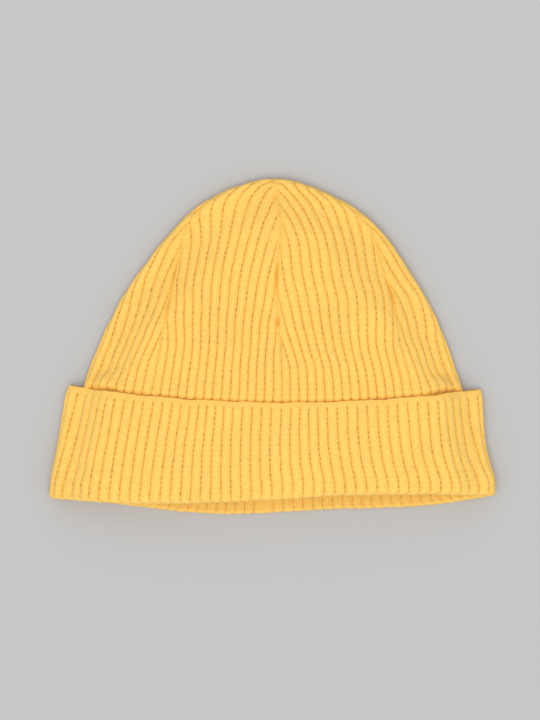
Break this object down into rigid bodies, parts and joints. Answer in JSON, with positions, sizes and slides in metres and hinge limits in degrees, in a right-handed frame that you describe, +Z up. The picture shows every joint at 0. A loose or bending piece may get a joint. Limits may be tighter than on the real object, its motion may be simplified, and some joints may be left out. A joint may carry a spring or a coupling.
{
  "type": "knit cap",
  "caption": "Ribbed knit cap with a domed crown gathered by darts and a deep turned-up cuff, lying flat on its back.",
  "frame": {"origin": "on the ground under the middle of the cap's bounding box, as it lies on its back", "axes": "+X across the cap to the wearer's left, +Y from the mouth to the top of the crown, +Z up through the front"},
  "size_m": [0.2518, 0.1895, 0.0226],
  "materials": {
    "rib_knit": "matt ribbed knit, yellow",
    "rib_knit_cuff": "matt ribbed knit, yellow",
    "seam_thread": "sewing thread, yellow"
  },
  "bodies": {
    "root": {"crown": "rib_knit", "cuff": "rib_knit_cuff"}
  },
  "joints": []
}
